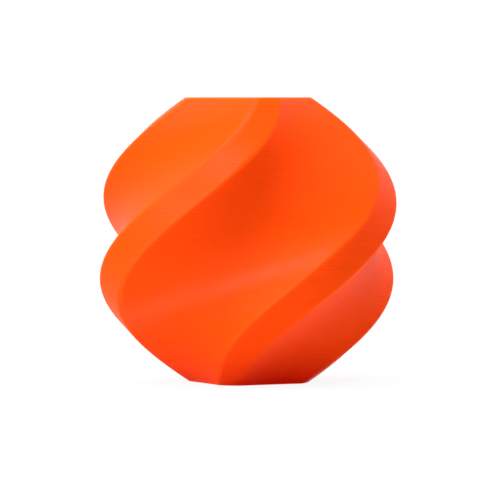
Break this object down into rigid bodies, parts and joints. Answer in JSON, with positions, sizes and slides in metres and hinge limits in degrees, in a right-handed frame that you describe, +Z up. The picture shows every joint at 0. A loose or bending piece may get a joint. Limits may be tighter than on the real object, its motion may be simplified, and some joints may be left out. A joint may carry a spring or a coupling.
{
  "type": "vase",
  "caption": "Open vase printed in one piece: twisted ridges with hollowed faces between them swell from a small foot to a wide belly and close in to a narrow rim.",
  "frame": {"origin": "centre of the foot, on the face that the vase stands on", "axes": "+Z up along the axis that the ridges wind about, towards the open rim; -Y towards the viewer of the front view, +X to that viewer's right"},
  "size_m": [0.1032, 0.1032, 0.1],
  "materials": {
    "printed_plastic": "satin orange print with fine level layer lines"
  },
  "bodies": {
    "root": {"vase": "printed_plastic"}
  },
  "joints": []
}
